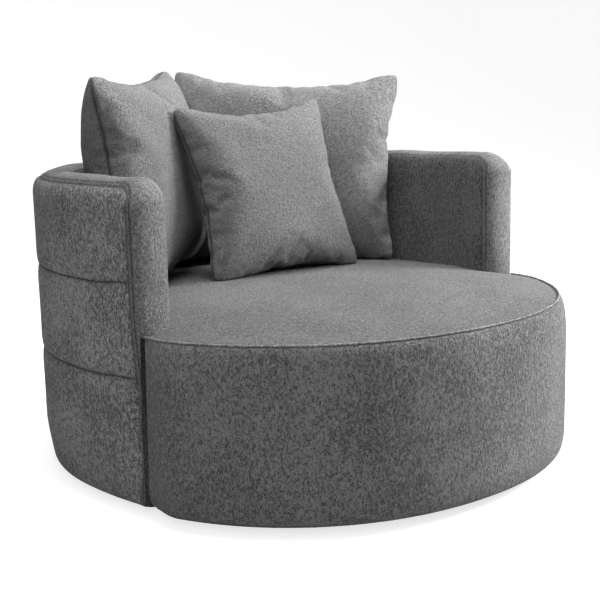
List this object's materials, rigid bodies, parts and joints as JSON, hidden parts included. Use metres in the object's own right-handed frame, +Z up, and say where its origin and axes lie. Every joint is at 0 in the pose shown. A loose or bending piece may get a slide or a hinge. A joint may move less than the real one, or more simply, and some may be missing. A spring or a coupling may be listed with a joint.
{
  "type": "cuddle chair",
  "caption": "Round upholstered cuddle chair: a crowned drum seat on a swivel, a low wall that forms both arms and the back, and loose pillows.",
  "frame": {"origin": "on the floor under the middle of the chair, on the swivel axis", "axes": "+Z up, the front of the seat toward -Y, +X to the right seen from the front"},
  "size_m": [1.088, 1.164, 0.8344],
  "materials": {
    "fabric": "short soft pile, mottled grey",
    "seam_fabric": "sewn edge of the same cloth",
    "foam": "matte upholstery foam",
    "timber": "raw plywood",
    "steel": "plain steel",
    "plastic": "black moulded",
    "dust_cloth": "thin black cloth"
  },
  "bodies": {
    "base": {"base_board": "timber", "swivel_lower_plate": "steel", "swivel_race": "steel", "glide_1": "plastic", "glide_2": "plastic", "glide_3": "plastic", "glide_4": "plastic", "glide_5": "plastic", "glide_6": "plastic", "base_bolt_1": "steel", "base_bolt_2": "steel", "base_bolt_3": "steel", "base_bolt_4": "steel"},
    "chair": {"swivel_upper_plate": "steel", "seat_bolt_1": "steel", "seat_bolt_2": "steel", "seat_bolt_3": "steel", "seat_bolt_4": "steel", "bottom_board": "timber", "seat_ring": "timber", "seat_post_1": "timber", "seat_post_2": "timber", "seat_post_3": "timber", "seat_post_4": "timber", "seat_post_5": "timber", "seat_post_6": "timber", "seat_spring_1": "steel", "seat_spring_2": "steel", "seat_spring_3": "steel", "seat_spring_4": "steel", "seat_spring_5": "steel", "seat_side_board": "timber", "seat_side_foam": "foam", "seat_foam": "foam", "seat_top_cover": "fabric", "seat_side_cover": "fabric", "seat_piping": "seam_fabric", "dust_cover": "dust_cloth", "wall_bottom_rail": "timber", "wall_top_rail": "timber", "wall_upright_1": "timber", "wall_upright_2": "timber", "wall_upright_3": "timber", "wall_upright_4": "timber", "wall_upright_5": "timber", "wall_upright_6": "timber", "wall_upright_7": "timber", "wall_foam": "foam", "border_foam": "foam", "wall_inner_cover": "fabric", "outer_band_bottom": "fabric", "outer_band_middle": "fabric", "outer_band_top": "fabric", "border_strip": "fabric"},
    "pillow_left": {"pillow_left": "fabric"},
    "pillow_right": {"pillow_right": "fabric"},
    "pillow_front": {"pillow_front": "fabric"}
  },
  "joints": [
    {"name": "swivel", "type": "hinge", "parent": "base", "child": "chair", "pos_m": [0, 0, 0.034], "axis": [0, 0, 1], "continuous": true},
    {"name": "pillow_left_lift", "type": "slide", "parent": "chair", "child": "pillow_left", "axis": [-0.0746, 0.0852, 0.9936], "range_m": [0, 0.48]},
    {"name": "pillow_right_lift", "type": "slide", "parent": "chair", "child": "pillow_right", "axis": [0.0746, 0.0852, 0.9936], "range_m": [0, 0.48]},
    {"name": "pillow_front_lift", "type": "slide", "parent": "chair", "child": "pillow_front", "axis": [0, 0, 1], "range_m": [0, 0.48]}
  ]
}
